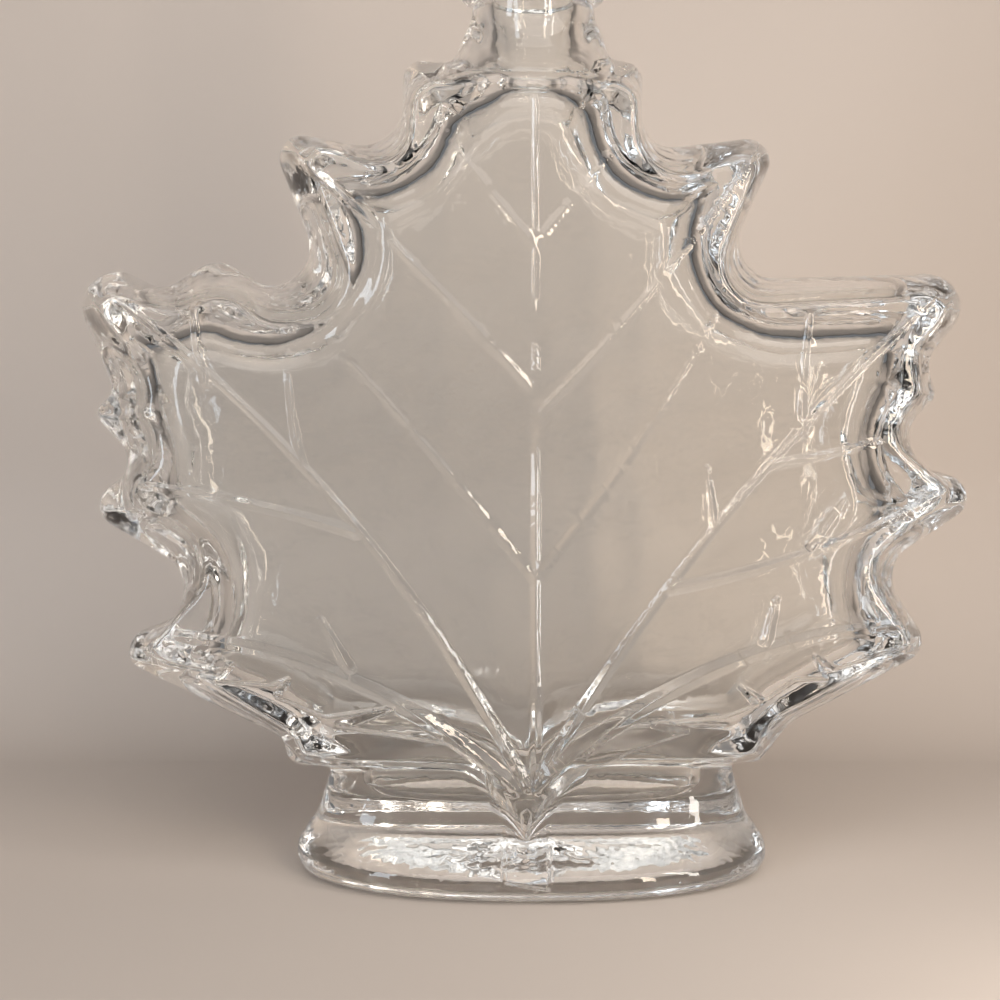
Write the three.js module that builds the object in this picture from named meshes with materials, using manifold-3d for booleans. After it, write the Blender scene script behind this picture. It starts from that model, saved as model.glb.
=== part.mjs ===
// Maple leaf bottle: an empty clear glass bottle pressed in the shape of a maple leaf, with raised
// veins, a stem, a narrow waist and an oval foot. It stands on its foot, centred on the neck's axis.
import * as THREE from "three";
import { mergeVertices } from "three/addons/utils/BufferGeometryUtils.js";
import Module from "manifold-3d";

const wasm = await Module();
wasm.setup();

// Driving dimensions, in millimetres, with Z up and the front face towards -Y

// Leaf body
const LEAF_HALF_DEPTH = 17.5; // mid-plane to the face beside a vein
const FACE_CROWN = 1.2; // the middle of a face stands out this much further
const CROWN_REACH = 62;
const RIM_START = 0.25; // share of the depth at which the side starts to slant
const RIM_REACH = 8.5; // the slanted side meets a face this far in from the edge
const RIM_BLEND = 0.12; // share of the depth that rounds the meeting
const SIDE_WALL = 6;
const FACE_WALL = 3.4;
const CAVITY_REACH = 9; // the inside reaches its full depth this far in from its own edge
const CAVITY_POWER = 2.2; // squareness of the inside's rounded edge
const LEAF_CENTRE = new THREE.Vector2(1.3, 62.3);
const ARC_STEP = THREE.MathUtils.degToRad(32);
const RAY_HALVINGS = 20;

// Rings of the leaf and of its inside: how far in from their own edge they lie
const LEAF_RINGS = [0.2, 2, 6.8, RIM_REACH, 10.2];
const CAVITY_RINGS = [0.6, 2.8, CAVITY_REACH];

// Edge of the leaf: corners [x, z, rounding], from the neck down to the stem on each side
const LEFT_EDGE = [
  [-10, 136, 0.5], // root of the neck
  [-12.5, 132, 1.5],
  [-20.9, 133, 3.2], // knob
  [-21.7, 118.4, 6],
  [-43.4, 122.2, 4.1], // upper tooth
  [-30.6, 88.6, 5.9],
  [-51.4, 101.6, 5.5], // bump on the side lobe
  [-60.3, 96.1, 5],
  [-79.3, 106.6, 6], // tip of the side lobe
  [-68.5, 79.7, 2.4],
  [-72.3, 76.1, 2.4],
  [-64.8, 67.7, 4],
  [-74.7, 60.5, 4], // middle tip
  [-51.4, 46.7, 5.9],
  [-71.8, 36.4, 3.6], // lowest tip
  [-42.1, 21.8, 2],
  [-41.2, 16.9, 4],
  [-4.8, 15.2, 12], // arch into the stem
  [-5, 4, 1.5], // end of the stem
];
const RIGHT_EDGE = [
  [10, 136, 0.5],
  [12, 132, 1.5],
  [17.7, 133, 3.2],
  [18.2, 118.6, 4.2],
  [41.1, 121.3, 4.2],
  [30.7, 97.9, 5.5],
  [76.4, 99.3, 5.8],
  [64.1, 84.3, 4],
  [66.9, 78.1, 4],
  [55.6, 70.3, 5],
  [76.8, 63.4, 4],
  [57.9, 50.8, 5],
  [67, 36.9, 4.3],
  [43.3, 24.2, 6],
  [38.2, 17.3, 3.5],
  [2.9, 16.7, 13],
  [2.9, 4, 1.5],
];

// Raised veins: root [x, z], tip [x, z], bow to the left of the way from root to tip, width, rise
const STRONG = { width: 2.4, rise: 0.6 };
const BROAD = { width: 3.4, rise: 0.8 };
const BRANCH = { width: 2.2, rise: 0.5 };
const FAINT = { width: 2, rise: 0.3 };
const VEINS = [
  { root: [0.4, 17], tip: [0, 123], bow: 0, ...STRONG }, // midrib
  { root: [0, 19], tip: [59.5, 93], bow: 4, ...STRONG }, // side lobes
  { root: [-1, 19], tip: [-63.5, 93.2], bow: -6.2, ...STRONG },
  { root: [0.5, 18.5], tip: [55.5, 44], bow: 6, ...BROAD }, // lowest lobes
  { root: [-3, 18.8], tip: [-55.5, 42.3], bow: -5.5, ...BROAD },
  { root: [20.6, 49.5], tip: [60.5, 64], bow: -1.8, ...STRONG }, // middle tips
  { root: [-27.5, 58.4], tip: [-59.5, 65.6], bow: -0.8, ...STRONG },
  { root: [36.6, 69], tip: [52.5, 72.6], bow: -0.4, ...BRANCH }, // side branches
  { root: [41, 73.4], tip: [41.8, 91.3], bow: 0.4, ...BRANCH },
  { root: [27.6, 59.8], tip: [26.4, 68.5], bow: 0, ...BRANCH },
  { root: [43, 55.6], tip: [47.8, 62.8], bow: 0, ...BRANCH },
  { root: [36, 41.2], tip: [37.5, 47.8], bow: 0, ...BRANCH },
  { root: [-35.7, 69], tip: [-37.7, 83.2], bow: 0.3, ...BRANCH },
  { root: [-50.3, 81.4], tip: [-51.9, 92.6], bow: 0.3, ...BRANCH },
  { root: [-28.8, 37], tip: [-33, 44.8], bow: 0, ...BRANCH },
  { root: [0, 51], tip: [27.5, 91.5], bow: -1.2, ...FAINT }, // pairs on the midrib
  { root: [0, 51.2], tip: [-30.7, 87.5], bow: -0.6, ...FAINT },
  { root: [0, 76], tip: [32.5, 114.5], bow: -1, ...FAINT },
  { root: [0, 80], tip: [-35.8, 115.2], bow: -0.9, ...FAINT },
  { root: [0, 102.2], tip: [12.5, 117], bow: 0, ...FAINT },
  { root: [0, 102], tip: [-13.5, 118.5], bow: 0, ...FAINT },
];
const VEIN_TAPER = 0.6; // width and rise left at the tip
const VEIN_SUNK = 2.4; // how deep a vein is rooted in the face
const VEIN_STEP = 12; // length between two sections of a vein

// Toothed step: below this edge the front face drops to a smooth lower shoulder
const STEP_HALF_DEPTH = 15.8;
const STEP_LEFT = [
  [-60.5, 37.9],
  [-50, 36],
  [-47.1, 37.6],
  [-49.7, 34.6],
  [-41.4, 34.1],
  [-38.3, 35.2],
  [-40.5, 32.2],
  [-32.8, 29.1],
  [-22.1, 30.7],
  [-31, 27.6],
  [-13.5, 24.6],
  [-7, 20],
];
const STEP_RIGHT = [
  [57.4, 40],
  [47.2, 36.6],
  [43.8, 39],
  [45.9, 35],
  [41.1, 35],
  [36.4, 31.7],
  [32.3, 34.1],
  [35.1, 31],
  [29.6, 28.9],
  [18.7, 28],
  [24.2, 26.4],
  [15.5, 23.6],
  [8.5, 19.5],
];
const STEP_OUTSIDE_Z = 8; // the cut reaches below the leaf's edge
const STEP_OUTSIDE_X = 76;

// Foot and waist: sections [z, half-width, half-depth]
const FOOT_SECTIONS = [
  [0, 37, 19.8],
  [1, 38.9, 21.5],
  [2.6, 39.5, 22.2],
  [4, 39.3, 22],
  [5.3, 38.5, 20.8],
  [7, 37.4, 17.2],
  [8.4, 36.4, 12.9],
  [9.2, 36, 12.3],
  [11, 35.5, 12],
  [14, 34.4, 11.8],
  [17, 33.7, 11.7],
  [25, 33, 11.5],
];
const FOOT_POWER = 2.3;
const FOOT_POINTS = 40;

// End of the stem, lying over the edge of the foot: path [y, z] on the front, and its width
const STEM_END_PATH = [
  [-14.2, 14],
  [-14.4, 9.6],
  [-19.2, 7.4],
  [-22.2, 5.6],
  [-23, 3.6],
];
const STEM_END_WIDTH = [6.6, 6.6, 7, 7.4, 7.8];
const STEM_END_X = -1.1;
const STEM_END_SUNK = 7;
const STEM_END_CREST = 0.7; // share of the width that is left at its crest

// Inside of the waist: sections [z, half-width, half-depth]
const WELL_SECTIONS = [
  [11.5, 22, 4],
  [12.5, 25.5, 6.4],
  [14.5, 27, 7.6],
  [20, 27.2, 8],
  [34, 26, 8],
];
const WELL_POINTS = 36;

// Neck with its finish, and its bore
const MOUTH_Z = 155;
const NECK_RADIUS = 9.7;
const NECK_SECTIONS = [
  [119, 13.2],
  [127, 12.6],
  [131.5, 11.4],
  [134.5, 10.2],
  [137.5, NECK_RADIUS],
  [141.2, NECK_RADIUS],
  [142, 11.2], // bead under the finish
  [143, 11.7],
  [144, 11.2],
  [144.8, NECK_RADIUS],
  [MOUTH_Z - 1.2, NECK_RADIUS],
  [MOUTH_Z - 0.3, NECK_RADIUS - 0.4],
  [MOUTH_Z, NECK_RADIUS - 1.2],
];
const NECK_POINTS = 32;
const BORE_RADIUS = 6.4;
const BORE_SECTIONS = [
  [112, 14],
  [120, 12.6],
  [125, 10.6],
  [129, 8.2],
  [132.5, 6.9],
  [136, BORE_RADIUS],
  [MOUTH_Z - 1, BORE_RADIUS],
  [MOUTH_Z, BORE_RADIUS + 0.6],
  [MOUTH_Z + 2, BORE_RADIUS + 0.6],
];
const BORE_POINTS = 28;
const THREAD_RISE = 1.15;
const THREAD_PITCH = 3.2;
const THREAD_TURNS = 1.4;
const THREAD_HALF_HEIGHT = 1.1;
const THREAD_START_Z = 147.4;
const THREAD_SUNK = 0.8;
const THREAD_STEPS = 26;
const THREAD_RUN_OUT = 1 / 6; // share of its length over which an end fades into the neck
const THREAD_FADED = 0.2; // how deep a faded end lies under the neck's skin
const THREAD_CREST = 0.25; // share of the height that is left at its crest

const GLASS_COLOUR = 0xdfe7e3;

// One corner of an outline as points on its rounding arc
function cornerArc(before, corner, after) {
  const [x, z, radius] = corner;
  const here = new THREE.Vector2(x, z);
  const back = new THREE.Vector2(before[0] - x, before[1] - z).normalize();
  const ahead = new THREE.Vector2(after[0] - x, after[1] - z).normalize();
  const half = Math.acos(THREE.MathUtils.clamp(back.dot(ahead), -1, 1)) / 2;
  const middle = back.clone().add(ahead).normalize().multiplyScalar(radius / Math.sin(half));
  const centre = here.clone().add(middle);
  const start = back.multiplyScalar(radius / Math.tan(half)).add(here).sub(centre).angle();
  const end = ahead.multiplyScalar(radius / Math.tan(half)).add(here).sub(centre).angle();
  const turn = Math.atan2(Math.sin(end - start), Math.cos(end - start));
  const steps = Math.max(2, Math.round(Math.abs(turn) / ARC_STEP));
  const points = [];
  for (let i = 0; i <= steps; i += 1) {
    const angle = start + (turn * i) / steps;
    const spoke = new THREE.Vector2(Math.cos(angle), Math.sin(angle));
    points.push(spoke.multiplyScalar(radius).add(centre));
  }
  return points;
}

// Closed outline through rounded corners
function roundedOutline(corners) {
  const count = corners.length;
  return corners.flatMap((corner, i) =>
    cornerArc(corners[(i + count - 1) % count], corner, corners[(i + 1) % count]),
  );
}

const OUTLINE = roundedOutline([...LEFT_EDGE, ...RIGHT_EDGE.toReversed()]);

// Distance from a point inside the leaf to the nearest place on its edge
function insetOf(point) {
  let nearest = Infinity;
  const foot = new THREE.Vector2();
  OUTLINE.forEach((start, i) => {
    const along = OUTLINE[(i + 1) % OUTLINE.length].clone().sub(start);
    const share = point.clone().sub(start).dot(along) / along.lengthSq();
    foot.copy(start).addScaledVector(along, THREE.MathUtils.clamp(share, 0, 1));
    nearest = Math.min(nearest, foot.distanceTo(point));
  });
  return nearest;
}

// Share of the full depth that the slanted side has at a distance in from the edge
function rimRise(inset) {
  const slanted = RIM_START + ((1 - RIM_START) * inset) / RIM_REACH;
  const near = Math.max(RIM_BLEND - Math.abs(1 - slanted), 0) / RIM_BLEND;
  return inset > 0 ? Math.min(1, slanted) - (near * near * RIM_BLEND) / 4 : 0;
}

// Share of the full depth that the rounded inside has at a distance in from its own edge
function cavityRise(inset) {
  const left = 1 - THREE.MathUtils.clamp(inset / CAVITY_REACH, 0, 1);
  return (1 - left ** CAVITY_POWER) ** (1 / CAVITY_POWER);
}

// Extra depth of the slightly domed faces
function crown(point) {
  const share = Math.min(1, point.distanceTo(LEAF_CENTRE) / CROWN_REACH);
  return FACE_CROWN * (1 - share ** 2);
}

function leafDepth(point) {
  return (LEAF_HALF_DEPTH + crown(point)) * rimRise(insetOf(point));
}

function cavityDepth(point) {
  return (LEAF_HALF_DEPTH - FACE_WALL) * cavityRise(insetOf(point) - SIDE_WALL);
}

// Closed skin over a run of rings of equal length, each end closed with a fan round its pole;
// a ring runs counter-clockwise as seen from the end of the run
function skin(rings, startPole, endPole) {
  const count = rings[0].length;
  const points = [...rings.flat(), startPole, endPole];
  const triangles = [];
  for (let r = 0; r + 1 < rings.length; r += 1) {
    for (let i = 0; i < count; i += 1) {
      const a = r * count + i;
      const b = r * count + ((i + 1) % count);
      triangles.push(a, b, b + count, a, b + count, a + count);
    }
  }
  const last = (rings.length - 1) * count;
  for (let i = 0; i < count; i += 1) {
    const next = (i + 1) % count;
    triangles.push(points.length - 2, next, i);
    triangles.push(points.length - 1, last + i, last + next);
  }
  const geometry = new THREE.BufferGeometry().setFromPoints(points);
  geometry.setIndex(triangles);
  return solidOf(geometry);
}

function solidOf(geometry) {
  const bare = new THREE.BufferGeometry();
  bare.setAttribute("position", geometry.getAttribute("position"));
  bare.setIndex(geometry.getIndex());
  const merged = mergeVertices(bare);
  const mesh = new wasm.Mesh({
    numProp: 3,
    vertProperties: new Float32Array(merged.getAttribute("position").array),
    triVerts: new Uint32Array(merged.getIndex().array),
  });
  return new wasm.Manifold(mesh);
}

function middleOf(ring) {
  const sum = ring.reduce((total, point) => total.add(point), new THREE.Vector3());
  return sum.divideScalar(ring.length);
}

// Line that runs round the leaf at one distance in from its edge: a place on each ray from the centre
function lineAt(inset, rays) {
  return rays.map((end) => {
    let low = 0;
    let high = 1;
    for (let i = 0; i < RAY_HALVINGS; i += 1) {
      const share = (low + high) / 2;
      if (insetOf(LEAF_CENTRE.clone().lerp(end, share)) > inset) {
        low = share;
      } else {
        high = share;
      }
    }
    return LEAF_CENTRE.clone().lerp(end, low);
  });
}

// Two domed faces that meet in the mid-plane on the line at the first distance in from the edge
function pillow(rays, edgeInset, ringInsets, depthAt) {
  const ringAt = (line, side) =>
    line.map((place) => new THREE.Vector3(place.x, side * depthAt(place), place.y));
  const lines = ringInsets.map((inset) => lineAt(edgeInset + inset, rays));
  const rim = ringAt(lineAt(edgeInset, rays), 0);
  const back = lines.toReversed().map((line) => ringAt(line, 1));
  const front = lines.map((line) => ringAt(line, -1));
  const poleY = depthAt(LEAF_CENTRE);
  const startPole = new THREE.Vector3(LEAF_CENTRE.x, poleY, LEAF_CENTRE.y);
  const endPole = new THREE.Vector3(LEAF_CENTRE.x, -poleY, LEAF_CENTRE.y);
  return skin([...back, rim, ...front], startPole, endPole);
}

// Stack of superellipse sections [z, half-width, half-depth]
function stack(sections, count, power) {
  const rings = sections.map(([z, halfWidth, halfDepth = halfWidth]) =>
    Array.from({ length: count }, (_, i) => {
      const angle = (2 * Math.PI * i) / count;
      const across = Math.cos(angle);
      const deep = Math.sin(angle);
      const x = halfWidth * Math.sign(across) * Math.abs(across) ** (2 / power);
      const y = halfDepth * Math.sign(deep) * Math.abs(deep) ** (2 / power);
      return new THREE.Vector3(x, y, z);
    }),
  );
  return skin(rings, middleOf(rings[0]), middleOf(rings[rings.length - 1]));
}

// One raised vein on the front
function vein({ root, tip, bow, width, rise }) {
  const start = new THREE.Vector2(...root);
  const end = new THREE.Vector2(...tip);
  const way = end.clone().sub(start);
  const left = new THREE.Vector2(-way.y, way.x).normalize();
  const control = start.clone().lerp(end, 0.5).addScaledVector(left, 2 * bow);
  const curve = new THREE.QuadraticBezierCurve(start, control, end);
  const steps = Math.max(2, Math.round(way.length() / VEIN_STEP));
  const profile = [
    [-0.5, -VEIN_SUNK],
    [0, rise],
    [0.5, -VEIN_SUNK],
  ];
  const rings = [];
  for (let i = 0; i <= steps; i += 1) {
    const share = i / steps;
    const taper = THREE.MathUtils.lerp(1, VEIN_TAPER, share);
    const place = curve.getPoint(share);
    const ahead = curve.getTangent(share);
    const across = new THREE.Vector2(ahead.y, -ahead.x);
    const ring = profile.map(([offset, out]) => {
      const spot = place.clone().addScaledVector(across, offset * width * taper);
      const depth = leafDepth(spot) + (out > 0 ? out * taper : out);
      return new THREE.Vector3(spot.x, -depth, spot.y);
    });
    rings.push(ring);
  }
  return skin(rings, middleOf(rings[0]), middleOf(rings[rings.length - 1]));
}

// Cutter that lowers the front face below its toothed edge
function stepCutter(edge) {
  const outer = Math.sign(edge[0][0]) * STEP_OUTSIDE_X;
  const inner = edge[edge.length - 1][0];
  const shape = new THREE.Shape();
  edge.forEach(([x, z]) => shape.lineTo(x, z));
  shape.lineTo(inner, STEP_OUTSIDE_Z);
  shape.lineTo(outer, STEP_OUTSIDE_Z);
  shape.lineTo(outer, edge[0][1]);
  shape.curves.shift();
  const thickness = LEAF_HALF_DEPTH;
  const geometry = new THREE.ExtrudeGeometry(shape, { depth: thickness, bevelEnabled: false });
  geometry.rotateX(Math.PI / 2);
  geometry.translate(0, -STEP_HALF_DEPTH, 0);
  return solidOf(geometry);
}

// End of the stem, a flat band laid down the waist and over the foot's front edge
function stemEnd() {
  const rings = STEM_END_PATH.toReversed().map(([y, z], i) => {
    const half = STEM_END_WIDTH.toReversed()[i] / 2;
    return [
      new THREE.Vector3(STEM_END_X + half, y + STEM_END_SUNK, z),
      new THREE.Vector3(STEM_END_X - half, y + STEM_END_SUNK, z),
      new THREE.Vector3(STEM_END_X - half * STEM_END_CREST, y, z),
      new THREE.Vector3(STEM_END_X + half * STEM_END_CREST, y, z),
    ];
  });
  return skin(rings, middleOf(rings[0]), middleOf(rings[rings.length - 1]));
}

// Screw thread that tapers into the neck at both ends
function thread() {
  const rings = [];
  for (let i = 0; i <= THREAD_STEPS; i += 1) {
    const share = i / THREAD_STEPS;
    const angle = 2 * Math.PI * THREAD_TURNS * share;
    const z = THREAD_START_Z + THREAD_PITCH * THREAD_TURNS * share;
    const strength = Math.min(1, share / THREAD_RUN_OUT, (1 - share) / THREAD_RUN_OUT);
    const crest = NECK_RADIUS - THREAD_FADED + (THREAD_RISE + THREAD_FADED) * strength;
    const base = NECK_RADIUS - THREAD_SUNK;
    const place = (radius, lift) =>
      new THREE.Vector3(radius * Math.cos(angle), radius * Math.sin(angle), z + lift);
    rings.push([
      place(base, -THREAD_HALF_HEIGHT),
      place(base, THREAD_HALF_HEIGHT),
      place(crest, THREAD_HALF_HEIGHT * THREAD_CREST),
      place(crest, -THREAD_HALF_HEIGHT * THREAD_CREST),
    ]);
  }
  return skin(rings, middleOf(rings[0]), middleOf(rings[rings.length - 1]));
}

let glass = pillow(OUTLINE, 0, LEAF_RINGS, leafDepth);
VEINS.forEach((row) => {
  glass = glass.add(vein(row));
});
[STEP_LEFT, STEP_RIGHT].forEach((edge) => {
  glass = glass.subtract(stepCutter(edge));
});
glass = glass.add(stack(FOOT_SECTIONS, FOOT_POINTS, FOOT_POWER));
glass = glass.add(stemEnd());
glass = glass.add(stack(NECK_SECTIONS, NECK_POINTS, 2));
glass = glass.add(thread());

const cavityRays = OUTLINE.filter((_, i) => i % 2 === 0);
const inside = pillow(cavityRays, SIDE_WALL, CAVITY_RINGS, cavityDepth)
  .add(stack(WELL_SECTIONS, WELL_POINTS, FOOT_POWER))
  .add(stack(BORE_SECTIONS, BORE_POINTS, 2));
glass = glass.subtract(inside);

const result = glass.getMesh();
const geometry = new THREE.BufferGeometry();
geometry.setAttribute("position", new THREE.BufferAttribute(result.vertProperties, 3));
geometry.setIndex(new THREE.BufferAttribute(result.triVerts, 1));
geometry.computeVertexNormals();

const material = new THREE.MeshStandardMaterial({ color: GLASS_COLOUR, roughness: 0.03, metalness: 0 });
material.name = "clear_glass";

const bottle = new THREE.Mesh(geometry, material);
bottle.name = "bottle";

const group = new THREE.Group();
group.name = "maple_leaf_bottle";
group.add(bottle);

export default group;
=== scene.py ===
"""Clear glass bottle shaped as a maple leaf, as an add-on: one operator makes the glass, one the stage."""

import math

import bpy
import numpy as np
from bpy.props import FloatProperty, FloatVectorProperty, PointerProperty
from bpy.types import Operator, Panel, PropertyGroup
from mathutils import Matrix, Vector


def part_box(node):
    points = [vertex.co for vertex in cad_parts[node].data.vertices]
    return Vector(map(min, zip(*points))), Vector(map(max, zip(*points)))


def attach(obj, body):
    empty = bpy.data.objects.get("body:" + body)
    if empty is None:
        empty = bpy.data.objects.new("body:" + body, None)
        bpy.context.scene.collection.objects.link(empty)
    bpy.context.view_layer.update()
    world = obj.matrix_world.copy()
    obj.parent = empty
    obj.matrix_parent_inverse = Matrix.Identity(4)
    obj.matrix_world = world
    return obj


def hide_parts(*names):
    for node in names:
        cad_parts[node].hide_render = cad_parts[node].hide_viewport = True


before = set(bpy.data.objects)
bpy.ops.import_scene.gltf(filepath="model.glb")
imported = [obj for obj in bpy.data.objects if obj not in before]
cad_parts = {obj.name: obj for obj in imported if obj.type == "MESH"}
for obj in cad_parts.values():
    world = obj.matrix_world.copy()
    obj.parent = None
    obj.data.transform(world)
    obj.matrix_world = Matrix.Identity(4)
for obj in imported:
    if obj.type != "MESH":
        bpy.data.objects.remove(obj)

bl_info = {
    "name": "Maple leaf bottle",
    "version": (1, 0, 0),
    "blender": (4, 5, 0),
    "location": "View3D > Sidebar > Bottle",
    "description": "Builds a clear glass bottle shaped as a maple leaf, and its stage",
    "category": "Add Mesh",
}

MM = 0.001

# Small sizes in metres, and shares of a slope or a turn
SMALL_ROUND = 0.0008  # edge of the underside and of the mouth
HIDDEN_ROUND = 0.001  # edges that lie within another part
LIP_ROUND = 0.0006  # edge of the bore at the mouth
EDGE_BLUR = 0.0005  # softening of the leaf's inset away from its edge
EDGE_KEPT = (0.001, 0.004)  # insets between which the softening sets in
REACH_BLUR = 0.001  # softening of the rim's reach
VEIN_FADE = (0.0015, 0.006)  # insets between which the veins rise from the edge
STEM_TOP = (0.014, 0.03)  # heights between which the stem widens into the leaf
FACE_MIDDLE = 0.0615  # height of the middle of the crown
STEM_SOFT = 0.0004  # softness of the stem's sides and end
STEM_SLANT = 0.15  # slope of the stem's cut end
THREAD_FADE = 0.16  # part of a turn over which the thread's ends fade
SKIN_MARGIN = 0.004  # air round the bottle in which its skin is sought
MAP_MARGIN = 0.002

# Edge of the leaf: corners (x, z, rounding) in millimetres, from the neck down to the stem
LEFT_EDGE = (
    (-10, 136, 0.5),  # root of the neck
    (-12.5, 132, 1.5),
    (-20.9, 133, 3.2),  # knob
    (-21.7, 118.4, 6),
    (-43.4, 122.2, 4.1),  # upper tooth
    (-30.6, 88.6, 5.9),
    (-51.4, 101.6, 5.5),  # bump on the side lobe
    (-60.3, 96.1, 5),
    (-79.3, 106.6, 6),  # tip of the side lobe
    (-68.5, 79.7, 2.4),
    (-72.3, 76.1, 2.4),
    (-64.8, 67.7, 4),
    (-74.7, 60.5, 4),  # middle tip
    (-51.4, 46.7, 5.9),
    (-71.8, 36.4, 3.6),  # lowest tip
    (-42.1, 21.8, 2),
    (-41.2, 16.9, 4),
    (-4.8, 15.2, 12),  # arch into the stem
    (-5, 4, 1.5),  # end of the stem
)
RIGHT_EDGE = (
    (10, 136, 0.5),
    (12, 132, 1.5),
    (17.7, 133, 3.2),
    (18.2, 118.6, 4.2),
    (41.1, 121.3, 4.2),
    (30.7, 97.9, 5.5),
    (76.4, 99.3, 5.8),
    (64.1, 84.3, 4),
    (66.9, 78.1, 4),
    (55.6, 70.3, 5),
    (76.8, 63.4, 4),
    (57.9, 50.8, 5),
    (67, 36.9, 4.3),
    (43.3, 24.2, 6),
    (38.2, 17.3, 3.5),
    (2.9, 16.7, 13),
    (2.9, 4, 1.5),
)

# Edge of the flat face within the leaf's edge: corners (x, z, rounding) in millimetres
FACE_LEFT = (
    (-8.6, 127.6, 1.5),
    (-18.4, 125.4, 2.4),
    (-18.9, 112.5, 5.5),
    (-35.6, 118, 1.9),
    (-25.4, 90.6, 7.3),
    (-41.3, 90.6, 5),
    (-47.3, 95, 5),
    (-55.3, 92.2, 6),
    (-68.6, 96.1, 1.9),
    (-60, 83, 6),
    (-57.7, 69.1, 3),
    (-62.6, 63.8, 1.2),
    (-45.2, 54.9, 8),
    (-61.2, 40, 1.6),
    (-38, 26, 2),
    (-36.5, 22.3, 2),
    (-7.5, 21, 8),
)
FACE_RIGHT = (
    (5.2, 127.3, 1.5),
    (15.4, 125.5, 2.4),
    (15.3, 109.3, 7.2),
    (35.2, 117.3, 2),
    (25.2, 92.8, 6.6),
    (66.2, 94.9, 2.6),
    (58.1, 86.1, 3),
    (59.5, 79.8, 2.2),
    (54, 73.2, 4.5),
    (65.1, 64.4, 1.5),
    (50.7, 53.4, 5.6),
    (59.9, 40.1, 2),
    (38.3, 28.6, 6),
    (34.6, 22.3, 2),
    (5.5, 21.5, 8),
)

# Raised veins in millimetres: root x, root z, tip x, tip z, bow to the left, half-width, rise
VEINS = (
    (0.4, 15, 0, 124, 0, 1.0, 0.6),  # midrib
    (0, 18, 62, 95.5, 4, 1.1, 0.8),  # side lobes
    (-1, 18, -66, 96, -6.2, 1.1, 0.8),
    (0.5, 17.5, 57.5, 44, 6, 1.7, 1.0),  # lowest lobes
    (-3, 17.8, -58, 42.3, -5.5, 1.7, 1.0),
    (20.6, 49.5, 62.5, 64.2, -1.8, 1.1, 0.75),  # middle tips
    (-27.5, 58.4, -61.5, 65.8, -0.8, 1.1, 0.75),
    (36.6, 69, 53.5, 72.8, -0.4, 1.0, 0.7),  # side branches
    (41, 73.4, 41.8, 91.3, 0.4, 1.0, 0.7),
    (27.6, 59.8, 26.4, 68.5, 0, 1.0, 0.6),
    (43, 55.6, 47.8, 62.8, 0, 1.2, 0.7),
    (36, 41.2, 37.5, 47.8, 0, 1.3, 0.9),
    (-35.7, 69, -37.7, 83.2, 0.3, 1.0, 0.7),
    (-50.3, 81.4, -51.9, 92.6, 0.3, 1.0, 0.7),
    (-28.8, 37, -33, 44.8, 0, 1.3, 0.9),
    (0, 51, 27.5, 91.5, -1.2, 1.0, 0.4),  # pairs on the midrib
    (0, 51.2, -30.7, 87.5, -0.6, 1.0, 0.4),
    (0, 76, 32.5, 114.5, -1, 1.0, 0.4),
    (0, 80, -35.8, 115.2, -0.9, 1.0, 0.4),
    (0, 102.2, 12.5, 117, 0, 1.0, 0.35),
    (0, 102, -13.5, 118.5, 0, 1.0, 0.35),
)

# Toothed step in millimetres: below this edge a face drops to a smooth lower shoulder
STEP_LEFT = (
    (-60.5, 37.9), (-50, 36), (-47.1, 37.6), (-49.7, 34.6), (-41.4, 34.1), (-38.3, 35.2),
    (-40.5, 32.2), (-32.8, 29.1), (-22.1, 30.7), (-31, 27.6), (-13.5, 24.6), (-7, 20),
    (-7, 8), (-80, 8), (-80, 37.9),
)
STEP_RIGHT = (
    (57.4, 40), (47.2, 36.6), (43.8, 39), (45.9, 35), (41.1, 35), (36.4, 31.7), (32.3, 34.1),
    (35.1, 31), (29.6, 28.9), (18.7, 28), (24.2, 26.4), (15.5, 23.6), (8.5, 19.5),
    (8.5, 8), (80, 8), (80, 40),
)

# Sections in millimetres: height, half-width, half-depth
FOOT_SECTIONS = (
    (0, 37, 19.8), (1, 38.9, 21.5), (2.6, 39.5, 22.2), (4, 39.3, 22), (5.3, 38.5, 20.8), (7, 37.4, 17.2),
    (8.4, 36.4, 12.9), (9.2, 36, 12.3), (11, 35.5, 12), (14, 34.4, 11.8), (17, 33.7, 11.7), (25, 33, 11.5),
)
WELL_SECTIONS = (
    (11.5, 20, 3.2), (12.5, 25, 6.2), (14.5, 27, 7.6), (20, 27.2, 8), (34, 26, 8),
)

# Sections in millimetres: height, radius
NECK_SECTIONS = (
    (119, 13.2), (127, 12.6), (131.5, 11.4), (134.5, 10.2), (137.5, 9.7), (141.2, 9.7), (142, 11.2),
    (143, 11.7), (144, 11.2), (144.8, 9.7), (153.8, 9.7), (154.7, 9.3), (155, 8.5),
)
BORE_SECTIONS = (
    (110, 6.4), (116, 8.6), (121, 9.4), (125, 9), (129, 7.9), (132.5, 6.9), (136, 6.4),
    (154, 6.4), (155, 7), (157, 7),
)

# Lights: name, place, point that they face, width and height, power in watts, colour
LIGHTS = (
    ("side", (0.105, -0.085, 0.078), (0, -0.0185, 0.078), (0.012, 0.15), 0.09, (1, 0.94, 0.87)),
    ("key", (0.19, -0.31, 0.14), (0, 0, 0.14), (0.03, 0.28), 0.5, (1, 0.86, 0.7)),
    ("window", (-0.4, -0.4, 0.15), (0, 0, 0.06), (0.1, 0.4), 1.0, (0.78, 0.89, 1)),
    ("top", (0.1, -0.55, 0.6), (0, 0, 0.06), (1.0, 0.7), 4.0, (1, 0.96, 0.92)),
)
SURROUND = (0.15, 0.154, 0.162)  # colour of the room beyond the stage
BOUNCES = 16

# Stage, in metres
STAGE_REACH = 1.5
COVE_RADIUS = 0.06
COVE_HEIGHT = 1.2
MOTTLE = 0.04  # share by which the floor's paleness varies
MOTTLE_SCALE = 6


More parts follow.
